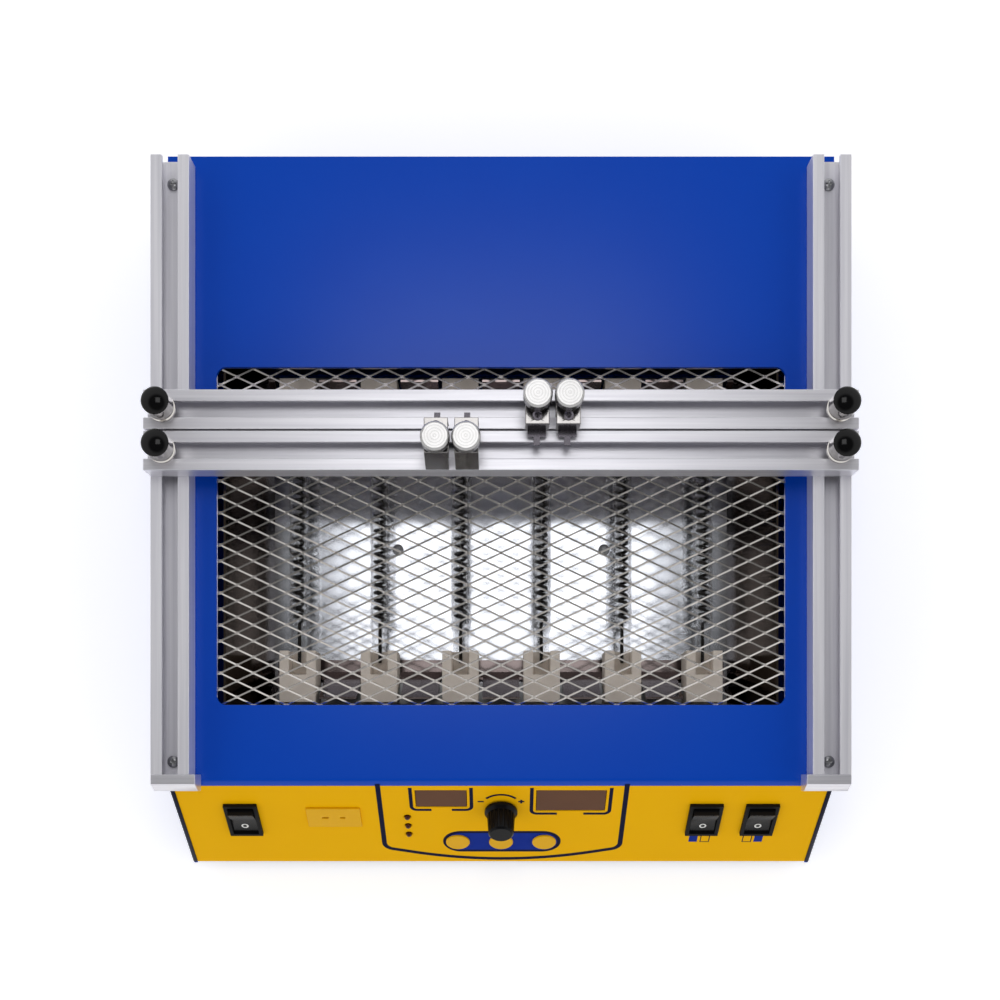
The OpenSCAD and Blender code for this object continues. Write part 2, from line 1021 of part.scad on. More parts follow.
module lens(place) {
  play = 0.4;
  sunk = 0.3;
  on_panel(place[0], display_t + place[2] / 2, -panel_sheet)
    union() {
      translate([0, 0, -eps])
        slab([place[1] - play, place[2] - play, panel_sheet - sunk + eps]);
      translate([0, 0, -lens_flange])
        slab([place[1] + 2 * lens_flange, place[2] + 2 * lens_flange, lens_flange]);
    }
}

module display_lenses() {
  color("saddlebrown")
    union() {
      lens(set_display);
      lens(sensor_display);
    }
}

module digits(place, figures) {
  depth = -board_out - panel_sheet - lens_flange;
  pitch = (place[1] - 2) / figures;
  on_panel(place[0], display_t + place[2] / 2, board_out)
    for (i = [0:figures - 1])
      translate([(i - (figures - 1) / 2) * pitch, 0, 0])
        slab([pitch - 0.4, place[2] - 2, depth]);
}

module digit_displays() {
  color("dimgray")
    union() {
      digits(set_display, 3);
      digits(sensor_display, 3);
    }
}

module thermocouple_socket() {
  color("gold")
    on_panel(socket_at[0], socket_at[1])
      difference() {
        union() {
          slab(socket_size);
          translate([0, 0, -socket_body[2]])
            slab([socket_body[0], socket_body[1], socket_body[2] + eps]);
        }
        for (i = [-1, 1])
          translate([i * 4.6, 0, -9])
            slab([i < 0 ? 3.4 : 2.6, 1.2, 20]);
      }
}

module indicator_lamps() {
  color("darkred")
    for (t = led_t)
      on_panel(led_x, t, board_out)
        union() {
          cylinder(d = led_diameter, h = 0.4 - board_out);
          translate([0, 0, 0.4 - board_out])
            intersection() {
              scale(led_diameter / 2)
                sphere(1);
              translate([0, 0, -eps])
                slab([6, 6, 6]);
            }
          cylinder(d = led_diameter + 1, h = 1.2);
        }
}

module control_board() {
  color("darkgreen")
    on_panel(0, 0, board_out - board_sheet)
      union() {
        translate([-board_half, -board_t[1], 0])
          cube([2 * board_half, board_t[1] - board_t[0], board_sheet]);
        for (i = [-1, 0, 1])
          translate([i * button_pitch, -button_t, board_sheet - eps])
            slab([6, 6, tact_height]);
        translate([46, -48, board_sheet - eps])
          slab([12, 12, 2]);
        translate([-20, -40, -6])
          slab([40, 8, 6 + eps]);
      }
}

module encoder() {
  color("gray")
    on_panel(0, adjust_t, board_out)
      difference() {
        union() {
          slab([12, 12, 6]);
          cylinder(d = bush_diameter, h = -board_out - 0.2);
        }
        translate([0, 0, 2])
          cylinder(d = shaft_diameter + 2 * fit, h = 30);
      }
}

module adjust_knob() {
  skirt = 17.4;
  lift = 0.8;
  color("black")
    on_panel(0, adjust_t)
      union() {
        difference() {
          rotate_extrude()
            polygon([
              [0, lift],
              [skirt / 2, lift],
              [skirt / 2, lift + 1.4],
              [adjust_diameter / 2 + 0.6, lift + 3],
              [adjust_diameter / 2, adjust_height - 1],
              [adjust_diameter / 2 - 1, adjust_height],
              [0, adjust_height]
            ]);
          for (turn = [10:20:350])
            rotate(turn)
              translate([adjust_diameter / 2 + 0.7, 0, lift + 3.2])
                cylinder(d = 1.8, h = adjust_height);
        }
        translate([0, 0, board_out + 2.4])
          cylinder(d = shaft_diameter, h = lift + 1 - board_out - 2.4);
      }
}

module button(i) {
  rim = 1;
  flange = 1.2;
  crown = 1;
  edge = 0.4;
  stem = tact_height + button_travel + 0.2;
  color("gold")
    on_panel(i * button_pitch, button_t)
      union() {
        rotate_extrude()
          polygon([
            [0, -panel_sheet - flange],
            [button_diameter / 2 + rim, -panel_sheet - flange],
            [button_diameter / 2 + rim, -panel_sheet],
            [button_diameter / 2, -panel_sheet],
            [button_diameter / 2, crown - edge],
            [button_diameter / 2 - edge, crown],
            [0, crown]
          ]);
        translate([0, 0, board_out + stem])
          cylinder(d = 4, h = -board_out - stem - panel_sheet);
      }
}

module button_left() {
  button(-1);
}

module button_middle() {
  button(0);
}

module button_right() {
  button(1);
}

// electronics and the underside
module power_board() {
  color("darkgreen")
    translate([power_x, power_y, board_z])
      union() {
        slab([power_size[0], power_size[1], board_sheet]);
        translate([-0.3 * power_size[0], 0.13 * power_size[1], board_sheet - eps])
          slab([36, 30, 26]);
        for (i = [0, 1])
          translate([-8 + i * 16, power_size[1] / 4, board_sheet - eps])
            cylinder(d = 12, h = 20);
        for (i = [-1, 1])
          translate([power_size[0] / 4, i * power_size[1] / 5, board_sheet - eps])
            slab([28, 12, 16]);
        translate([-power_size[0] / 5, 10 - power_size[1] / 2, board_sheet - eps])
          slab([60, 10, 12]);
      }
}

module heat_sink() {
  color("darkgray")
    translate([sink_x, sink_y, z_pan])
      difference() {
        slab(sink_size);
        for (i = [-3:3])
          translate([i * sink_size[0] / 7.5, 3, 5])
            slab([5, sink_size[1], sink_size[2]]);
      }
}

module heat_shields() {
  rise = z_under - z_pan;
  color("silver")
    for (side = [-1, 1])
      translate([0, y_window + side * shield_y, z_pan])
        union() {
          slab([2 * inner - 2 * sheet - 1, shield_sheet, rise]);
          translate([0, side * (shield_foot - shield_sheet) / 2, 0])
            slab([2 * inner - 2 * sheet - 1, shield_foot, shield_sheet]);
        }
}

module power_inlet() {
  depth = 20;
  well = 16;
  color("black")
    translate([inlet_x, y_rear, inlet_z])
      rotate([-90, 0, 0])
        union() {
          difference() {
            union() {
              linear_extrude(height = inlet_flange)
                rounded(48, 24, 4);
              translate([0, 0, -depth])
                slab([inlet_body[0], inlet_body[1], depth + eps]);
            }
            translate([0, 0, -well])
              slab([24, 16.4, well + inlet_flange + cut]);
          }
          for (x = [-7, 0, 7])
            translate([x, x == 0 ? 2 : -2, -well - eps])
              slab([2, 4, 14]);
        }
}

module rubber_feet() {
  color("black")
    for (side = [-1, 1])
      for (y = foot_y)
        translate([side * foot_x, y, 0])
          difference() {
            cylinder(d1 = foot_diameter - 2, d2 = foot_diameter, h = foot_height);
            translate([0, 0, -cut])
              cylinder(d = screw_head + 1.5, h = foot_recess + cut);
            translate([0, 0, -cut])
              cylinder(d = screw_bore, h = foot_height + 2 * cut);
          }
}

top_cover();
bottom_pan();
front_panel();
mesh_guard();
reflector_pan();
reflector_ends();
lamp_brackets();
ceramic_blocks();
quartz_tubes();
heater_coils();
lamp_terminals();
standoffs();
pan_screws();
rail_left();
rail_right();
rail_stops();
switch_housings();
display_lenses();
digit_displays();
thermocouple_socket();
indicator_lamps();
control_board();
encoder();
power_board();
heat_sink();
heat_shields();
power_inlet();
rubber_feet();
rear_bar();
rear_bar_nuts();
front_bar();
front_bar_nuts();
lock_knob_rear_left();
lock_knob_rear_right();
lock_knob_front_left();
lock_knob_front_right();
at_clamp(1, clamp_rear_x[0]) bracket();  // bracket_rear_left
at_clamp(1, clamp_rear_x[1]) bracket();  // bracket_rear_right
at_clamp(-1, clamp_front_x[0]) bracket();  // bracket_front_left
at_clamp(-1, clamp_front_x[1]) bracket();  // bracket_front_right
at_clamp(1, clamp_rear_x[0]) jaw();  // jaw_rear_left
at_clamp(1, clamp_rear_x[1]) jaw();  // jaw_rear_right
at_clamp(-1, clamp_front_x[0]) jaw();  // jaw_front_left
at_clamp(-1, clamp_front_x[1]) jaw();  // jaw_front_right
at_clamp(1, clamp_rear_x[0]) clamp_nut();  // clamp_nut_rear_left
at_clamp(1, clamp_rear_x[1]) clamp_nut();  // clamp_nut_rear_right
at_clamp(-1, clamp_front_x[0]) clamp_nut();  // clamp_nut_front_left
at_clamp(-1, clamp_front_x[1]) clamp_nut();  // clamp_nut_front_right
at_clamp(1, clamp_rear_x[0]) clamp_knob_body();  // clamp_knob_rear_left
at_clamp(1, clamp_rear_x[1]) clamp_knob_body();  // clamp_knob_rear_right
at_clamp(-1, clamp_front_x[0]) clamp_knob_body();  // clamp_knob_front_left
at_clamp(-1, clamp_front_x[1]) clamp_knob_body();  // clamp_knob_front_right
main_rocker();
zone_rocker_left();
zone_rocker_right();
adjust_knob();
button_left();
button_middle();
button_right();
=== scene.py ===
import json
import math
import bpy
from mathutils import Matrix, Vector


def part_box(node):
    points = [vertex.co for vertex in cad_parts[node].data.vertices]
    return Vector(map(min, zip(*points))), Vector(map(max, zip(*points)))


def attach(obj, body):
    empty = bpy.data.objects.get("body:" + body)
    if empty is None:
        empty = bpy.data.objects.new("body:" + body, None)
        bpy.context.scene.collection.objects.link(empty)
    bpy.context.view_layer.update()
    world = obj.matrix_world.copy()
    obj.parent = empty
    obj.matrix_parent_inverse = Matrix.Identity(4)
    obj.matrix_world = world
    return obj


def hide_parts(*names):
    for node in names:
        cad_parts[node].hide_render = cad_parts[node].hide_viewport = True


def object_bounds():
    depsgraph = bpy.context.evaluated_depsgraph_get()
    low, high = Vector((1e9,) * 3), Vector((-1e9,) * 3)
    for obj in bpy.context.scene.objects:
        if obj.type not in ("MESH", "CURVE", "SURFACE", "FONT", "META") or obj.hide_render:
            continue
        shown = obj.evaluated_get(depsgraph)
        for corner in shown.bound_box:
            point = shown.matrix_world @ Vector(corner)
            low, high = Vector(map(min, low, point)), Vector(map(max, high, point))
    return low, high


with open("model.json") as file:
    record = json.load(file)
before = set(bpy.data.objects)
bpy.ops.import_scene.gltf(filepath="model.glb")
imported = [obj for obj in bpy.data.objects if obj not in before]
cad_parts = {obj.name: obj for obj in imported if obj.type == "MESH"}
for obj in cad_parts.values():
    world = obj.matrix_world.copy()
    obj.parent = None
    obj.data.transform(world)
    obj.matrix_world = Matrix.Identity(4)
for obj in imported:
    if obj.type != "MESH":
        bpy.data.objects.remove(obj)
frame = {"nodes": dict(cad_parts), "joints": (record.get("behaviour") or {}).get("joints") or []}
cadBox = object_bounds()
nodes = frame["nodes"]
mm = 0.001
print("frame loaded:", len(nodes), "nodes")


# camera and light

camera = {
    "lens": 48.4,           # on a 36 mm sensor
    "place": (0, -138, 758),  # straight above the cover's front fold
    "tilt": 0,              # degrees
    "shift": (-0.001, 0.28),  # the photograph was cropped off centre
}
cameraData = bpy.data.cameras.new("camera")
cameraData.lens = camera["lens"]
cameraData.shift_x, cameraData.shift_y = camera["shift"]
cameraObject = bpy.data.objects.new("camera", cameraData)
cameraObject.location = Vector(camera["place"]) * mm
cameraObject.rotation_euler = (math.radians(camera["tilt"]), 0, 0)
bpy.context.scene.collection.objects.link(cameraObject)
bpy.context.scene.camera = cameraObject
bpy.context.scene.view_settings.view_transform = "Standard"


def hexColor(code):
    channels = [int(code[i:i + 2], 16) / 255 for i in (1, 3, 5)]
    linear = [c / 12.92 if c <= 0.04045 else ((c + 0.055) / 1.055) ** 2.4 for c in channels]
    return (*linear, 1.0)


# adds a node: settings are its own properties or its sockets' values, links are sockets to join
def addNode(tree, kind, settings=None, links=None):
    node = tree.nodes.new(kind)
    for key, value in (settings or {}).items():
        if isinstance(key, str) and hasattr(node, key):
            setattr(node, key, value)
        else:
            node.inputs[key].default_value = value
    for key, source in (links or {}).items():
        tree.links.new(source, node.inputs[key])
    return node


studio = {
    "softbox": (520, 600),       # width and depth
    "softboxPlace": (0, 350, 1500),
    "softboxPower": 2.9,
    "walls": 1.28, "ceiling": 0.14,  # brightness of the room's walls and ceiling
    "wallTop": 0.7, "ceilingEdge": 0.84,  # where one fades into the other, as sines of elevation
}
softboxData = bpy.data.lights.new("softbox", "AREA")
softboxData.shape = "RECTANGLE"
softboxData.size = studio["softbox"][0] * mm
softboxData.size_y = studio["softbox"][1] * mm
softboxData.energy = studio["softboxPower"]
softbox = bpy.data.objects.new("softbox", softboxData)
softbox.location = Vector(studio["softboxPlace"]) * mm
bpy.context.scene.collection.objects.link(softbox)

# white walls that fade to a dim ceiling
world = bpy.data.worlds.new("studio")
bpy.context.scene.world = world
world.use_nodes = True
tree = world.node_tree
tree.nodes.clear()
direction = addNode(tree, "ShaderNodeTexCoord")
split = addNode(tree, "ShaderNodeSeparateXYZ", links={"Vector": direction.outputs["Generated"]})
fade = addNode(tree, "ShaderNodeMapRange", {
    "From Min": studio["wallTop"], "From Max": studio["ceilingEdge"],
    "To Min": studio["walls"], "To Max": studio["ceiling"],
}, {"Value": split.outputs["Z"]})
backdrop = addNode(tree, "ShaderNodeBackground", links={"Strength": fade.outputs["Result"]})
addNode(tree, "ShaderNodeOutputWorld", links={"Surface": backdrop.outputs[0]})
print("camera and studio ready")


# materials

# a surface with drifting tone, patchy gloss and a fine relief; sizes are in millimetres,
# and stretch draws the pattern out along an axis, as rolling and extruding do
def makeMaterial(name, look):
    material = bpy.data.materials.new(name)
    material.use_nodes = True
    tree = material.node_tree
    tree.nodes.clear()
    coords = addNode(tree, "ShaderNodeTexCoord")
    place = addNode(tree, "ShaderNodeMapping", {
        "Scale": [1 / (mm * s) for s in look.get("stretch", (1, 1, 1))],
    }, {"Vector": coords.outputs["Object"]})
    tone = addNode(tree, "ShaderNodeTexNoise", {
        "Scale": 1 / look["toneSize"], "Detail": 4, "Roughness": 0.55,
    }, {"Vector": place.outputs[0]})
    colour = addNode(tree, "ShaderNodeMix", {
        "data_type": "RGBA", 6: hexColor(look["colour"]), 7: hexColor(look["second"]),
    }, {0: tone.outputs["Fac"]})
    if "paintedShade" in look:  # painted shade: the colour darkens to a brown away from the middle, towards the side walls
        split = addNode(tree, "ShaderNodeSeparateXYZ", links={"Vector": coords.outputs["Object"]})
        away = addNode(tree, "ShaderNodeMath", {"operation": "ABSOLUTE"}, {0: split.outputs["X"]})
        shadeMask = addNode(tree, "ShaderNodeMapRange", {
            "From Min": look["paintedShadeSpan"][0] * mm, "From Max": look["paintedShadeSpan"][1] * mm,
        }, {"Value": away.outputs[0]})
        colour = addNode(tree, "ShaderNodeMix", {"data_type": "RGBA", 7: hexColor(look["paintedShade"])},
                         {0: shadeMask.outputs["Result"], 6: colour.outputs[2]})
    if "rings" in look:  # lathe marks round the middle of the piece
        middle = addNode(tree, "ShaderNodeMapping", {"Location": (-0.5, -0.5, 0)},
                         {"Vector": coords.outputs["Generated"]})
        grain = addNode(tree, "ShaderNodeTexWave", {
            "wave_type": "RINGS", "rings_direction": "Z", "Distortion": 0.6, "Detail": 1,
            "Scale": math.pi / 10 * look["across"] / look["rings"],
        }, {"Vector": middle.outputs[0]})
    else:
        grain = addNode(tree, "ShaderNodeTexNoise", {
            "Scale": 1 / look["grainSize"], "Detail": 3,
        }, {"Vector": place.outputs[0]})
    gloss = addNode(tree, "ShaderNodeMapRange", {
        "To Min": look["rough"][0], "To Max": look["rough"][1],
    }, {"Value": grain.outputs["Fac"]})
    relief = addNode(tree, "ShaderNodeBump", {
        "Strength": look.get("relief", 0.1), "Distance": look.get("reliefDepth", 0.1) * mm,
    }, {"Height": grain.outputs["Fac"]})
    sockets = {"Metallic": look.get("metallic", 0)}
    sockets.update(look.get("sockets", {}))
    shader = addNode(tree, "ShaderNodeBsdfPrincipled", sockets, {
        "Base Color": colour.outputs[2],
        "Roughness": gloss.outputs["Result"],
        "Normal": relief.outputs["Normal"],
    })
    addNode(tree, "ShaderNodeOutputMaterial", links={"Surface": shader.outputs[0]})
    return material


looks = {
    # sheet steel, powder coated: deep blue with a faint orange peel that softens the softbox
    "bluePowderCoat": {
        "colour": "#0142B8", "second": "#0248BE", "toneSize": 60, "grainSize": 0.9,
        "rough": (0.2, 0.28), "relief": 0.05, "reliefDepth": 0.03,
        "sockets": {"Specular IOR Level": 0.26},
    },
    # sheet steel, powder coated: warm yellow, the same orange peel
    "yellowPowderCoat": {
        "colour": "#F8BC00", "second": "#F3B500", "toneSize": 50, "grainSize": 0.9,
        "rough": (0.4, 0.5), "relief": 0.05, "reliefDepth": 0.03,
        "sockets": {"Specular IOR Level": 0.04},
    },
    # expanded stainless steel: bright cut edges on a dull skin
    "expandedSteel": {
        "colour": "#E4E0DC", "second": "#C6C1BC", "toneSize": 9, "grainSize": 0.6,
        "rough": (0.1, 0.22), "relief": 0.1, "reliefDepth": 0.04, "metallic": 1,
    },
    # polished stainless reflector: a mirror with long rolling streaks, with painted shade that darkens
    # it brown towards its side walls
    "polishedReflector": {
        "colour": "#D3D6DD", "second": "#BDC0C8", "toneSize": 12, "grainSize": 3,
        "stretch": (1, 14, 1), "rough": (0.1, 0.17), "relief": 0.06, "reliefDepth": 0.05,
        "metallic": 1, "paintedShade": "#5E544D", "paintedShadeSpan": (117, 127),
    },
    # the reflector's ends sit by the lamp seals: a darker brown grey mirror, painted shade over the
    # whole of them
    "shadedEndReflector": {
        "colour": "#877C7B", "second": "#675C5B", "toneSize": 9, "grainSize": 3,
        "stretch": (14, 1, 1), "rough": (0.08, 0.18), "relief": 0.06, "reliefDepth": 0.05,
        "metallic": 1,
    },
    # cold rolled steel, left bare inside the case
    "bareSteel": {
        "colour": "#A7A8AA", "second": "#8E8F92", "toneSize": 14, "grainSize": 1.2,
        "rough": (0.28, 0.45), "relief": 0.15, "reliefDepth": 0.05, "metallic": 1,
    },
    # pressed steatite ceramic: chalky cream with pores
    "steatite": {
        "colour": "#E4DAD0", "second": "#D3C7BB", "toneSize": 7, "grainSize": 0.7,
        "rough": (0.6, 0.8), "relief": 0.3, "reliefDepth": 0.15,
    },
    # drawn quartz glass, thin: mostly clear, so that the coil reads dark against the reflector
    "quartzGlass": {
        "colour": "#FCFCFB", "second": "#F6F5F2", "toneSize": 8, "grainSize": 3,
        "rough": (0.0, 0.03), "relief": 0.03, "reliefDepth": 0.05,
        "sockets": {"Transmission Weight": 1.0, "IOR": 1.46, "Alpha": 0.22},
    },
    # resistance wire, oxidised nearly black by heat
    "resistanceWire": {
        "colour": "#1A1715", "second": "#110F0E", "toneSize": 5, "grainSize": 0.5,
        "rough": (0.4, 0.58), "sockets": {"Specular IOR Level": 0.2},
    },
    # tinned copper lugs
    "tinnedCopper": {
        "colour": "#C2BEB6", "second": "#A8A298", "toneSize": 4, "grainSize": 0.6,
        "rough": (0.3, 0.5), "metallic": 1,
    },
    # extruded aluminium, clear anodised: satin with fine die lines along the rail
    "anodisedRail": {
        "colour": "#FBFAFE", "second": "#C6C5CF", "toneSize": 2.4, "grainSize": 0.5,
        "stretch": (1, 60, 1), "rough": (0.4, 0.54), "relief": 0.12, "reliefDepth": 0.03,
        "metallic": 0.7,
    },
    # the same extrusion, turned so that its die lines run across the machine
    "anodisedBar": {
        "colour": "#F6F5FA", "second": "#C4C3CC", "toneSize": 2.4, "grainSize": 0.5,
        "stretch": (60, 1, 1), "rough": (0.3, 0.43), "relief": 0.12, "reliefDepth": 0.03,
        "metallic": 0.8,
    },
    # bright chrome plate on turned brass: a hard mirror
    "chromePlate": {
        "colour": "#DAD7D3", "second": "#C9C5C0", "toneSize": 6, "grainSize": 1,
        "rough": (0.05, 0.12), "metallic": 1,
    },
    # black phenolic, moulded and polished: deep black with one small highlight
    "blackPhenolic": {
        "colour": "#060607", "second": "#0B0B0C", "toneSize": 4, "grainSize": 0.8,
        "rough": (0.08, 0.14),
        "sockets": {"Specular IOR Level": 0.2},
    },
    # blued spring steel: dark, with a dull shine
    "springSteel": {
        "colour": "#79757C", "second": "#625E66", "toneSize": 3, "grainSize": 0.5,
        "rough": (0.2, 0.34), "relief": 0.08, "reliefDepth": 0.03, "metallic": 1,
    },
    # bright nickel plate on pressed steel, with light handling marks
    "brightNickel": {
        "colour": "#9C9A99", "second": "#858281", "toneSize": 5, "grainSize": 0.8,
        "rough": (0.08, 0.22), "relief": 0.08, "reliefDepth": 0.04, "metallic": 1,
    },
    # lathe-turned aluminium: pale satin with fine rings
    "turnedAluminium": {
        "colour": "#B4B3B3", "second": "#A2A1A1", "toneSize": 3, "rings": 1.4, "across": 14,
        "rough": (0.23, 0.28), "relief": 0.03, "reliefDepth": 0.04, "metallic": 1,
    },
    # moulded black nylon with a gloss rocker face
    "glossBlackPlastic": {
        "colour": "#0C0C0E", "second": "#121214", "toneSize": 8, "grainSize": 0.8,
        "rough": (0.18, 0.3), "relief": 0.05, "reliefDepth": 0.03,
        "sockets": {"Specular IOR Level": 0.1},
    },
    # moulded black plastic with a spark-eroded matt skin
    "mattBlackPlastic": {
        "colour": "#101011", "second": "#171718", "toneSize": 8, "grainSize": 0.5,
        "rough": (0.5, 0.65), "relief": 0.25, "reliefDepth": 0.06,
        "sockets": {"Specular IOR Level": 0.1},
    },
    # cast acrylic, smoked brown: glossy and nearly opaque
    "smokedAcrylic": {
        "colour": "#6A462F", "second": "#5C3C29", "toneSize": 20, "grainSize": 3,
        "rough": (0.06, 0.1),
        "sockets": {"Specular IOR Level": 0.1, "IOR": 1.49},
    },
    # display module: grey potting with pale segments
    "displayFace": {
        "colour": "#4A4542", "second": "#3C3836", "toneSize": 4, "grainSize": 0.5,
        "rough": (0.5, 0.65),
    },
    # moulded yellow button caps
    "yellowPlastic": {
        "colour": "#EBB306", "second": "#E6AC02", "toneSize": 6, "grainSize": 0.5,
        "rough": (0.3, 0.42), "relief": 0.1, "reliefDepth": 0.03,
        "sockets": {"Specular IOR Level": 0.15},
    },
    # tinted epoxy lamps, dark while they are off
    "epoxyLens": {
        "colour": "#4A1A14", "second": "#371310", "toneSize": 2, "grainSize": 0.6,
        "rough": (0.12, 0.25),
        "sockets": {"Specular IOR Level": 0.3, "IOR": 1.52},
    },
    # fibreglass board under green solder resist
    "solderResist": {
        "colour": "#1D5A33", "second": "#174A2A", "toneSize": 5, "grainSize": 0.6,
        "rough": (0.3, 0.45), "relief": 0.2, "reliefDepth": 0.05,
    },
    # moulded rubber, dusty matt
    "mouldedRubber": {
        "colour": "#1D1D1D", "second": "#282827", "toneSize": 6, "grainSize": 0.6,
        "rough": (0.7, 0.85), "relief": 0.3, "reliefDepth": 0.08,
    },
    # painted shadow: a navy, nearly black strip standing for the shadowed gap between the front panel
    # and the side walls
    "gapShadeStrip": {
        "colour": "#070A24", "second": "#0A0E2C", "toneSize": 5, "grainSize": 0.5,
        "rough": (0.4, 0.55), "relief": 0.1, "reliefDepth": 0.04,
        "sockets": {"Specular IOR Level": 0.15},
    },
    # screen inks: flat and slightly raised
    "navyInk": {
        "colour": "#04082B", "second": "#070C33", "toneSize": 4, "grainSize": 0.4,
        "rough": (0.4, 0.55),
        "sockets": {"Specular IOR Level": 0.05},
    },
    "blueInk": {
        "colour": "#042C94", "second": "#032788", "toneSize": 6, "grainSize": 0.4,
        "rough": (0.38, 0.5),
        "sockets": {"Specular IOR Level": 0.05},
    },
    "whiteInk": {
        "colour": "#E9E9E6", "second": "#DADAD6", "toneSize": 3, "grainSize": 0.4,
        "rough": (0.45, 0.6),
        "sockets": {"Specular IOR Level": 0.15},
    },
}
materials = {name: makeMaterial(name, look) for name, look in looks.items()}

corners = ("rear_left", "rear_right", "front_left", "front_right")
dress = {
    "bluePowderCoat": ["top_cover", "bottom_pan"],
    "yellowPowderCoat": ["front_panel"],
    "expandedSteel": ["mesh_guard"],
    "polishedReflector": ["reflector_pan"],
    "shadedEndReflector": ["reflector_ends"],
    "bareSteel": ["lamp_brackets", "standoffs", "heat_shields", "pan_screws"],
    "steatite": ["ceramic_blocks"],
    "quartzGlass": ["quartz_tubes"],
    "resistanceWire": ["heater_coils"],
    "tinnedCopper": ["lamp_terminals"],
    "anodisedRail": ["rail_left", "rail_right"],
    "anodisedBar": ["rear_bar", "front_bar", "rail_stops"],
    "chromePlate": ["lock_knob_" + c for c in corners],
    "springSteel": ["jaw_" + c for c in corners],
    "brightNickel": ["bracket_" + c for c in corners] + ["clamp_nut_" + c for c in corners]
    + ["rear_bar_nuts", "front_bar_nuts"],
    "turnedAluminium": ["clamp_knob_" + c for c in corners] + ["heat_sink"],
    "glossBlackPlastic": ["main_rocker", "zone_rocker_left", "zone_rocker_right", "adjust_knob"],
    "mattBlackPlastic": ["switch_housings", "power_inlet", "encoder"],
    "smokedAcrylic": ["display_lenses"],
    "displayFace": ["digit_displays"],
    "yellowPlastic": ["thermocouple_socket", "button_left", "button_middle", "button_right"],
    "epoxyLens": ["indicator_lamps"],
    "solderResist": ["control_board", "power_board"],
    "mouldedRubber": ["rubber_feet"],
}
edges = {"width": 0.35, "angle": 35, "segments": 2, "weld": 0.01,
         "sharp": ("expandedSteel", "quartzGlass", "resistanceWire", "polishedReflector",
                   "shadedEndReflector")}
for finish, names in dress.items():
    for name in names:
        node = nodes[name]
        node.data.materials.clear()
        node.data.materials.append(materials[finish])
        if finish in edges["sharp"]:
            continue
        weld = node.modifiers.new("weld", "WELD")
        weld.merge_threshold = edges["weld"] * mm
        bevel = node.modifiers.new("edges", "BEVEL")
        bevel.width = edges["width"] * mm
        bevel.segments = edges["segments"]
        bevel.limit_method = "ANGLE"
        bevel.angle_limit = math.radians(edges["angle"])
        bevel.use_clamp_overlap = True
        bevel.loop_slide = False
        flats = node.modifiers.new("flats", "WEIGHTED_NORMAL")
        flats.weight = 100
undressed = sorted(set(nodes) - {n for names in dress.values() for n in names})
print("finishes on the CAD nodes; without one:", undressed)

floorLook = {"size": 3000, "colour": "#FAFAFA", "second": "#F6F6F5", "lift": 0.45}
reach = floorLook["size"] * mm
floorMesh = bpy.data.meshes.new("floor")
floorMesh.from_pydata([(-reach, -reach, 0), (reach, -reach, 0), (reach, reach, 0), (-reach, reach, 0)],
                      [], [(0, 1, 2, 3)])
floor = bpy.data.objects.new("floor", floorMesh)
floor.location.z = cadBox[0].z
bpy.context.scene.collection.objects.link(floor)
# white seamless paper, lifted a little for the camera so that it stays white
paper = makeMaterial("seamlessPaper", {
    "colour": floorLook["colour"], "second": floorLook["second"], "toneSize": 300, "grainSize": 2,
    "rough": (0.8, 0.95), "sockets": {"Specular IOR Level": 0.1},
})
tree = paper.node_tree
path = addNode(tree, "ShaderNodeLightPath")
direct = addNode(tree, "ShaderNodeMath", {"operation": "MAXIMUM"}, {
    0: path.outputs["Is Camera Ray"], 1: path.outputs["Is Glossy Ray"]})
seen = addNode(tree, "ShaderNodeMath", {"operation": "MAXIMUM"}, {
    0: direct.outputs[0], 1: path.outputs["Is Transmission Ray"]})
shown = addNode(tree, "ShaderNodeMath", {"operation": "MULTIPLY", 1: floorLook["lift"]},
                {0: seen.outputs[0]})
paperShader = [n for n in tree.nodes if n.type == "BSDF_PRINCIPLED"][0]
paperShader.inputs["Emission Color"].default_value = hexColor(floorLook["colour"])
tree.links.new(shown.outputs[0], paperShader.inputs["Emission Strength"])
floorMesh.materials.append(paper)


# pieces

def makePiece(name, points, faces, finish, body, smooth=False):
    mesh = bpy.data.meshes.new(name)
    mesh.from_pydata([tuple(p) for p in points], [], faces)
    mesh.validate()
    mesh.update()
    mesh.materials.append(materials[finish])
    if smooth:
        mesh.shade_smooth()
    piece = bpy.data.objects.new(name, mesh)
    bpy.context.scene.collection.objects.link(piece)
    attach(piece, body)
    return piece


# angles of evenly spaced points round a circle
def roundAngles(count):
    return [2 * math.pi * k / count for k in range(count)]


# joins rings of points, all of one length, into a skin with closed ends
def loftRings(rings, points, faces, closed=False):
    start = len(points)
    count = len(rings[0])
    for ring in rings:
        points.extend(ring)
    for r in range(len(rings) - 1 + closed):
        a = start + r * count
        b = start + (r + 1) % len(rings) * count
        for i in range(count):
            j = (i + 1) % count
            faces.append((a + i, a + j, b + j, b + i))
    if not closed:
        faces.append(tuple(start + i for i in reversed(range(count))))
        faces.append(tuple(start + (len(rings) - 1) * count + i for i in range(count)))


# a round wire along a path
def sweepWire(path, radius, sides, points, faces):
    rings = []
    side = None
    for i, here in enumerate(path):
        along = (path[min(i + 1, len(path) - 1)] - path[max(i - 1, 0)]).normalized()
        if side is None:
            side = along.orthogonal()
        side = (side - along * side.dot(along)).normalized()
        other = along.cross(side)
        rings.append([here + (side * math.cos(a) + other * math.sin(a)) * radius
                      for a in roundAngles(sides)])
    loftRings(rings, points, faces)


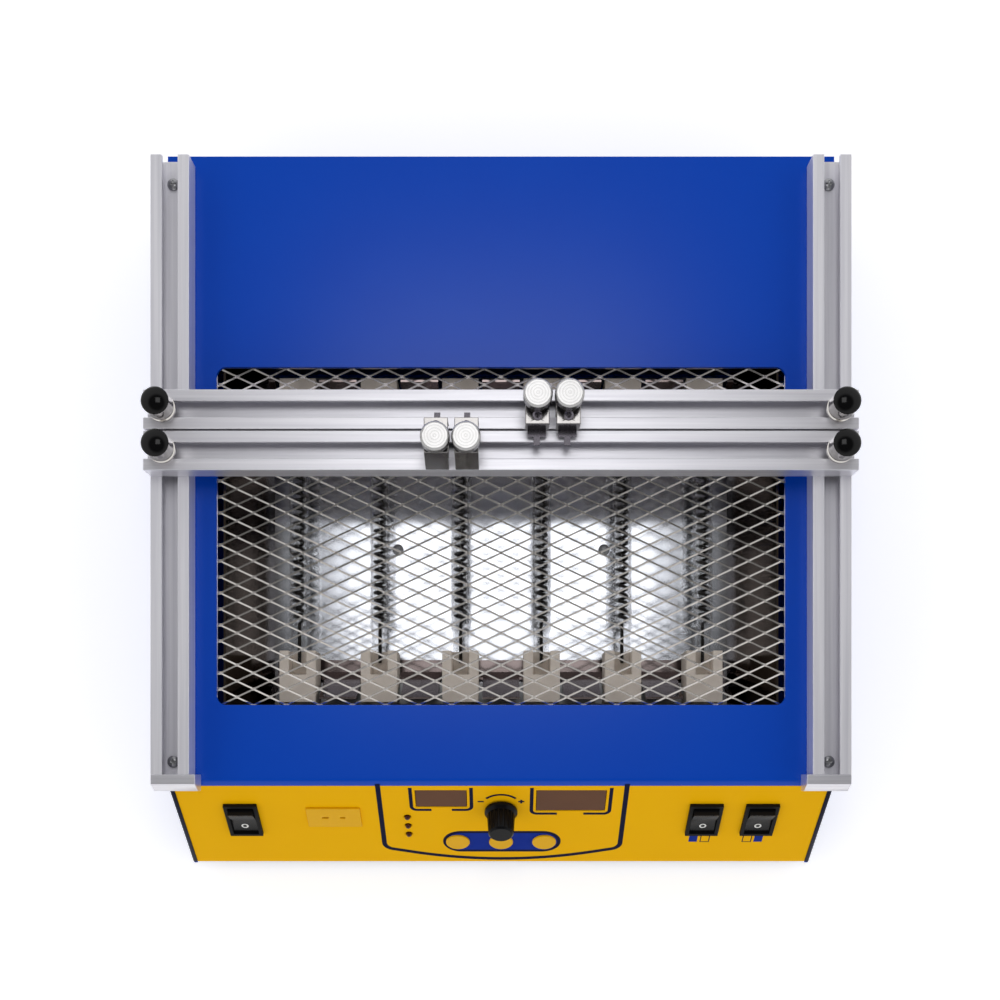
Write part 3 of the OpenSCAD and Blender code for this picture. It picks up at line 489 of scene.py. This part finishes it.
# expanded metal guard: zigzag strands, each tilted about its own run, joined at flat knuckles
guard = {
    "long": 17.0, "short": 8.4,   # one diamond
    "strandWidth": 0.85, "strandThickness": 0.5, "tilt": 22, "knuckle": 1.2, "twist": 0.9,
    "clear": 0.15, "rim": 7.0,
}
low, high = (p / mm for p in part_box("mesh_guard"))
left, right = low.x + guard["rim"] + guard["clear"], high.x - guard["rim"] - guard["clear"]
near, far = low.y + guard["rim"] + guard["clear"], high.y - guard["rim"] - guard["clear"]
middle = Vector(((left + right) / 2, (near + far) / 2, (low.z + high.z) / 2))
guardTilt = math.radians(guard["tilt"])
lean = math.cos(guardTilt) * guard["strandWidth"] / 2
swing = guard["short"] / 4
rowCount = int((far - near) / (guard["short"] / 2)) + 1
stepCount = int((right - left) / (guard["long"] / 2)) + 4
guardPoints, guardFaces = [], []
for row in range(rowCount):
    rowY = near + (row + 0.5) * (far - near) / rowCount
    pathPoints = []   # place, and whether the strand lies flat there
    for step in range(-1, stepCount):
        turn = 1 if (step + row) % 2 else -1
        centreX = middle.x + (step - stepCount // 2) * guard["long"] / 2
        peak = rowY + turn * (swing - lean)
        rise = turn * (2 * swing - 2 * lean) * guard["twist"] / (guard["long"] / 2 - guard["knuckle"])
        for end in (-1, 1):
            flat = Vector((centreX + end * guard["knuckle"] / 2, peak, middle.z))
            strand = Vector((flat.x + end * guard["twist"], peak - rise, middle.z))
            pathPoints += [(flat, True), (strand, False)][::end]
    # cut the row at the window's sides
    kept = []
    for (a, flatA), (b, flatB) in zip(pathPoints, pathPoints[1:]):
        run = Vector((1, 0, 0)) if flatA and flatB else (b - a).normalized()
        for limit in (left, right):
            if (a.x - limit) * (b.x - limit) < 0:
                kept.append((a.lerp(b, (limit - a.x) / (b.x - a.x)), run))
        if left < b.x < right:
            kept.append((b, Vector((1, 0, 0)) if flatB else run))
    kept.sort(key=lambda item: item[0].x)
    rings = []
    for place, run in kept:
        aside = Vector((-run.y, run.x, 0))
        across = (aside * math.cos(guardTilt) + Vector((0, 0, math.sin(guardTilt)))) \
            * guard["strandWidth"] / 2
        through = (Vector((0, 0, math.cos(guardTilt))) - aside * math.sin(guardTilt)) \
            * guard["strandThickness"] / 2
        rings.append([(place + across * u + through * v) * mm
                      for u, v in ((-1, -1), (1, -1), (1, 1), (-1, 1))])
    loftRings(rings, guardPoints, guardFaces)
rimRings = []
for grow, z in ((0, low.z), (guard["rim"], low.z), (guard["rim"], high.z), (0, high.z)):
    rimRings.append([Vector((x, y, z)) * mm for x, y in (
        (left - grow, near - grow), (right + grow, near - grow),
        (right + grow, far + grow), (left - grow, far + grow))])
loftRings(rimRings, guardPoints, guardFaces, closed=True)
meshGuard = makePiece("expanded_mesh", guardPoints, guardFaces, "expandedSteel", "chassis")
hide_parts("mesh_guard")
print("guard:", rowCount, "rows")


# quartz lamps: a clear tube pinched flat at both ends, with a coil inside
lamp = {
    "pitch": 42.5, "count": 6, "wall": 0.5,
    "pinchLength": 20, "blendLength": 6, "pinchWidth": 0.78, "pinchThickness": 0.24,
    "coilWire": 0.95, "coilPitch": 4.0,   # wire radius, and one turn
    "coilMargin": 29, "sides": 28,
    "pinchSteps": 6, "boreTip": 25, "boreFull": 28, "boreNarrow": 0.3,   # places from the tube's ends
    "leadEnd": 6, "leadGap": 2, "turnSteps": 14, "wireSides": 6,
}
tubeLow, tubeHigh = (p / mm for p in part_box("quartz_tubes"))
coilLow, coilHigh = (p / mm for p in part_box("heater_coils"))
tubeRadius = (tubeHigh.z - tubeLow.z) / 2
coilRadius = (coilHigh.z - coilLow.z) / 2 - lamp["coilWire"]
lampZ = (tubeLow.z + tubeHigh.z) / 2
lampXs = [(i - (lamp["count"] - 1) / 2) * lamp["pitch"] for i in range(lamp["count"])]
tubePoints, tubeFaces, wirePoints, wireFaces = [], [], [], []
for lampX in lampXs:
    ends = (tubeLow.y, tubeHigh.y)
    stations = []
    for end, inward in ((ends[0], 1), (ends[1], -1)):
        flat = end + inward * lamp["pinchLength"]
        run = [(end, 1.0), (flat, 1.0)]
        for k in range(1, lamp["pinchSteps"] + 1):
            ease = 0.5 - 0.5 * math.cos(math.pi * k / lamp["pinchSteps"])
            run.append((flat + inward * lamp["blendLength"] * k / lamp["pinchSteps"], 1 - ease))
        stations += run if inward > 0 else run[::-1]
    rings = []
    for y, pinch in stations:
        wide = tubeRadius * (1 + (lamp["pinchWidth"] - 1) * pinch)
        tall = tubeRadius * (1 + (lamp["pinchThickness"] - 1) * pinch)
        rings.append([Vector((lampX + wide * math.cos(a), y, lampZ + tall * math.sin(a))) * mm
                      for a in roundAngles(lamp["sides"])])
    loftRings(rings, tubePoints, tubeFaces)
    bore = tubeRadius - lamp["wall"]
    inner = [[Vector((lampX + bore * shrink * math.sin(a), y, lampZ + bore * shrink * math.cos(a))) * mm
              for a in roundAngles(lamp["sides"])]
             for y, shrink in ((ends[0] + lamp["boreTip"], lamp["boreNarrow"]),
                               (ends[0] + lamp["boreFull"], 1), (ends[1] - lamp["boreFull"], 1),
                               (ends[1] - lamp["boreTip"], lamp["boreNarrow"]))]
    loftRings(inner, tubePoints, tubeFaces)
    # lead, helix, lead
    coilStart, coilEnd = ends[0] + lamp["coilMargin"], ends[1] - lamp["coilMargin"]
    turns = round((coilEnd - coilStart) / lamp["coilPitch"])
    steps = turns * lamp["turnSteps"]
    wire = [Vector((lampX, ends[0] + lamp["leadEnd"], lampZ)),
            Vector((lampX, coilStart - lamp["leadGap"], lampZ))]
    for k in range(steps + 1):
        angle = 2 * math.pi * k / lamp["turnSteps"]
        wire.append(Vector((lampX + coilRadius * math.cos(angle),
                            coilStart + (coilEnd - coilStart) * k / steps,
                            lampZ + coilRadius * math.sin(angle))))
    wire += [Vector((lampX, coilEnd + lamp["leadGap"], lampZ)),
             Vector((lampX, ends[1] - lamp["leadEnd"], lampZ))]
    sweepWire([p * mm for p in wire], lamp["coilWire"] * mm, lamp["wireSides"], wirePoints, wireFaces)
tubes = makePiece("quartz_lamps", tubePoints, tubeFaces, "quartzGlass", "chassis", True)
coils = makePiece("lamp_coils", wirePoints, wireFaces, "resistanceWire", "chassis", True)
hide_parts("quartz_tubes")
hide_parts("heater_coils")
print("lamps:", len(lampXs))


# bar lock knobs: a chromed foot and waist under a black ball cap
lockKnob = {
    "sides": 48, "cap": 15.3, "height": 17.5, "capRadius": 6.75,
    "seat": 0.02, "domeRings": 9, "domeStop": 8.2,   # the last ring stops short of the crown
    # radius and height above the bar
    "foot": ((2.0, -21.0), (2.0, 0.0), (6.15, 0.0), (6.75, 0.6), (6.75, 2.4), (6.15, 3.0), (4.5, 3.1),
             (4.5, 5.0), (6.25, 5.0), (6.75, 5.5), (6.75, 15.2), (6.5, 15.3)),
}


# turns a profile of radius and height about an upright axis
def turnProfile(profile, centre, sides, points, faces):
    loftRings([[Vector((centre.x + r * math.cos(a), centre.y + r * math.sin(a), centre.z + z)) * mm
                for a in roundAngles(sides)] for r, z in profile],
              points, faces)


domeHeight = lockKnob["height"] - lockKnob["cap"]
ballRadius = (lockKnob["capRadius"] ** 2 + domeHeight ** 2) / (2 * domeHeight)
domeAngle = math.asin(lockKnob["capRadius"] / ballRadius)
dome = [(lockKnob["capRadius"], lockKnob["cap"] - lockKnob["seat"])]
for k in range(lockKnob["domeRings"]):
    angle = domeAngle * (1 - k / lockKnob["domeStop"])
    dome.append((ballRadius * math.sin(angle), lockKnob["height"] - ballRadius * (1 - math.cos(angle))))
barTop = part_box("rear_bar")[1].z / mm
for c in corners:
    knobLow, knobHigh = (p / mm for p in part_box("lock_knob_" + c))
    centre = Vector(((knobLow.x + knobHigh.x) / 2, (knobLow.y + knobHigh.y) / 2, barTop))
    for part, profile, finish, slotName in (("foot", lockKnob["foot"], "chromePlate", "knob_chrome"),
                                            ("cap", dome, "blackPhenolic", "black_gloss")):
        points, faces = [], []
        turnProfile(profile, centre, lockKnob["sides"], points, faces)
        knob = makePiece("lock_%s_%s" % (part, c), points, faces, finish, "lock_" + c)
        for polygon in knob.data.polygons:
            polygon.use_smooth = part == "cap"
        if part == "foot":
            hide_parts("lock_knob_" + c)
print("lock knobs:", len(corners))


# prints on the sloped panel: x across, down from the adjust knob's centre, in millimetres
panelJoint = [j for j in frame["joints"] if j["name"] == "adjust_turn"][0]
panelCentre = Vector(panelJoint["pos_m"])
panelOut = Vector(panelJoint["axis"])
panelDown = Vector((0, -panelOut.z, panelOut.y))
inkThickness = 0.06


def onPanel(x, down, out):
    return panelCentre + Vector((x, 0, 0)) * mm + panelDown * (down * mm) + panelOut * (out * mm)


# a flat patch of ink from an outline
def inkPatch(outline, lift, points, faces):
    rings = [[onPanel(x, d, h) for x, d in outline] for h in (lift, lift + inkThickness)]
    loftRings(rings, points, faces)


# an ink line of one width along a path
def inkLine(path, width, lift, points, faces, closed=False):
    sides = []
    last = len(path) - 1
    for i, here in enumerate(path):
        before = path[i - 1] if closed else path[max(i - 1, 0)]
        after = path[(i + 1) % len(path)] if closed else path[min(i + 1, last)]
        arrive = Vector((here[0] - before[0], here[1] - before[1]))
        leave = Vector((after[0] - here[0], after[1] - here[1]))
        arrive, leave = (v.normalized() if v.length else w.normalized()
                         for v, w in ((arrive, leave), (leave, arrive)))
        step = (arrive + leave).normalized()
        out = Vector((-step.y, step.x)) * width / 2 / max(step.dot(leave), 0.5)  # mitred corners
        sides.append((Vector(here) + out, Vector(here) - out))
    rings = [[onPanel(*p, h) for p, h in ((a, lift), (b, lift), (b, lift + inkThickness),
                                          (a, lift + inkThickness))] for a, b in sides]
    loftRings(rings, points, faces, closed)


def arc(x, down, radius, start, stop, count=16):
    return [(x + radius * math.cos(math.radians(start + (stop - start) * k / count)),
             down + radius * math.sin(math.radians(start + (stop - start) * k / count)))
            for k in range(count + 1)]


def roundedOutline(x0, d0, x1, d1, radius):
    return (arc(x1 - radius, d1 - radius, radius, 0, 90, 8)
            + arc(x0 + radius, d1 - radius, radius, 90, 180, 8)
            + arc(x0 + radius, d0 + radius, radius, 180, 270, 8)
            + arc(x1 - radius, d0 + radius, radius, 270, 360, 8))


prints = {
    "line": 2.6, "sides": (-63.6, 65.0), "top": -23, "sideEnd": 37, "bulge": 46.4, "corner": 6,
    "pill": (-30.6, 20.5, 31.6, 38.5), "pillRadius": 8.9, "pillEdge": 1.9,
    "frame": 4.6, "frameLine": 1.9, "frameBend": 3, "frameGap": 0.34,
    "displays": ((-31.3, -10.0, 27, 15), (36.6, -8.3, 36.6, 18.4)),   # x, down, width, height
    "sweep": 10.4, "sweepDown": -3.4, "sweepLine": 1.4, "signs": 10.6, "signDown": -7.7, "signSize": 3.2,
    "squares": ((104.4, True), (110.8, False), (133.7, False), (139.8, True)), "squareDown": 26.8,
    "squareSize": (4.6, 6.0), "squareLine": 0.5, "signLine": 1.1,
    "overprint": 0.02,   # lift of one ink where it crosses another
    "ring": (1.5, 0.8), "ringDown": 5.6, "ringOut": 2.78,   # mean radius, width and place on a rocker
}
navyPoints, navyFaces, bluePoints, blueFaces = [], [], [], []
corner = prints["corner"]
centreX, half = sum(prints["sides"]) / 2, (prints["sides"][1] - prints["sides"][0]) / 2
# outline of the control section, open at the top
sidePath = [(-half, prints["top"]), (-half, prints["sideEnd"] - corner)]
sidePath += arc(-half + corner, prints["sideEnd"] - corner, corner, 180, 108, 8)[1:]
bottomPath = [(-half + corner + (2 * half - 2 * corner) * k / 24,
               prints["sideEnd"] + (prints["bulge"] - prints["sideEnd"])
               * (1 - ((k - 12) / 12) ** 2)) for k in range(1, 24)]
mirrored = [(-x, d) for x, d in reversed(sidePath)]
inkLine([(x + centreX, d) for x, d in sidePath + bottomPath + mirrored], prints["line"], 0,
        navyPoints, navyFaces)
# blue pill round the buttons, with its navy edge
inkPatch(roundedOutline(*prints["pill"], prints["pillRadius"]), 0, bluePoints, blueFaces)
inkLine(roundedOutline(*prints["pill"], prints["pillRadius"]), prints["pillEdge"],
        prints["overprint"], navyPoints, navyFaces, closed=True)
# frames beside and under the displays, open at the bottom middle
for x, down, width, height in prints["displays"]:
    reachX, reachD = width / 2 + prints["frame"] / 2, height / 2 + prints["frame"] / 2
    bend = prints["frameBend"]
    for side in (-1, 1):
        inkLine([(x + side * reachX, down - reachD)]
                + [(x + side * (reachX - bend + dx), d)
                   for dx, d in arc(0, down + reachD - bend, bend, 0, 90, 6)]
                + [(x + side * prints["frameGap"] * reachX, down + reachD)],
                prints["frameLine"], 0, navyPoints, navyFaces)
# sweep over the adjust knob, with minus and plus
inkLine(arc(0, prints["sweepDown"], prints["sweep"], 222, 318, 20), prints["sweepLine"], 0,
        navyPoints, navyFaces)
signHalf = prints["signSize"] / 2
for x, strokes in ((-prints["signs"], ((1, 0),)), (prints["signs"], ((1, 0), (0, 1)))):
    for dx, dd in strokes:
        inkLine([(x - dx * signHalf, prints["signDown"] - dd * signHalf),
                 (x + dx * signHalf, prints["signDown"] + dd * signHalf)], prints["signLine"],
                prints["overprint"] * dd, navyPoints, navyFaces)
# pairs of squares under the zone switches: filled for on, open for off
for x, filled in prints["squares"]:
    halfX, halfD = (v / 2 for v in prints["squareSize"])
    square = [(x - halfX, prints["squareDown"] - halfD), (x + halfX, prints["squareDown"] - halfD),
              (x + halfX, prints["squareDown"] + halfD), (x - halfX, prints["squareDown"] + halfD)]
    if filled:
        inkPatch(square, 0, bluePoints, blueFaces)
    else:
        inkLine(square, prints["squareLine"], 0, navyPoints, navyFaces, closed=True)
makePiece("panel_lines", navyPoints, navyFaces, "navyInk", "chassis")
makePiece("panel_fields", bluePoints, blueFaces, "blueInk", "chassis")
# a white ring on the lower half of each rocker
for joint in frame["joints"]:
    if "rocker" in joint["child"]:
        away = Vector(joint["pos_m"]) - panelCentre
        x, down, out = away.x / mm, away.dot(panelDown) / mm, away.dot(panelOut) / mm
        ringPoints, ringFaces = [], []
        circle = arc(x, down + prints["ringDown"], prints["ring"][0], 0, 360, 32)[:-1]
        inkLine(circle, prints["ring"][1], out + prints["ringOut"], ringPoints, ringFaces, closed=True)
        makePiece(joint["child"] + "_mark", ringPoints, ringFaces, "whiteInk", joint["child"])
print("panel prints ready")


# painted shadow: a dark strip over the sloped edges of the side walls, with rounded ends, standing for
# the shadowed gap beside the front panel
gapShade = {"width": 2.3, "height": 0.8, "top": -21.4, "bottom": 49.4, "end": 0.7,
          "proud": 0.15, "taper": 0.5, "steps": 8}
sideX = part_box("top_cover")[1].x / mm - gapShade["width"] / 2 + gapShade["proud"]
gapShadePoints, gapShadeFaces = [], []
for side in (-1, 1):
    rings = []
    for down, swell in ((gapShade["top"], gapShade["taper"]), (gapShade["top"] + gapShade["end"], 1),
                        (gapShade["bottom"] - gapShade["end"], 1), (gapShade["bottom"], gapShade["taper"])):
        rings.append([onPanel(side * sideX - swell * gapShade["width"] / 2 * math.cos(a), down,
                              swell * gapShade["height"] * math.sin(a)) for a in
                      (math.pi * k / gapShade["steps"] for k in range(gapShade["steps"] + 1))][::side])
    loftRings(rings, gapShadePoints, gapShadeFaces)
makePiece("panel_gap_shade", gapShadePoints, gapShadeFaces, "gapShadeStrip", "chassis", True)
print("edging ready")


bpy.context.view_layer.update()
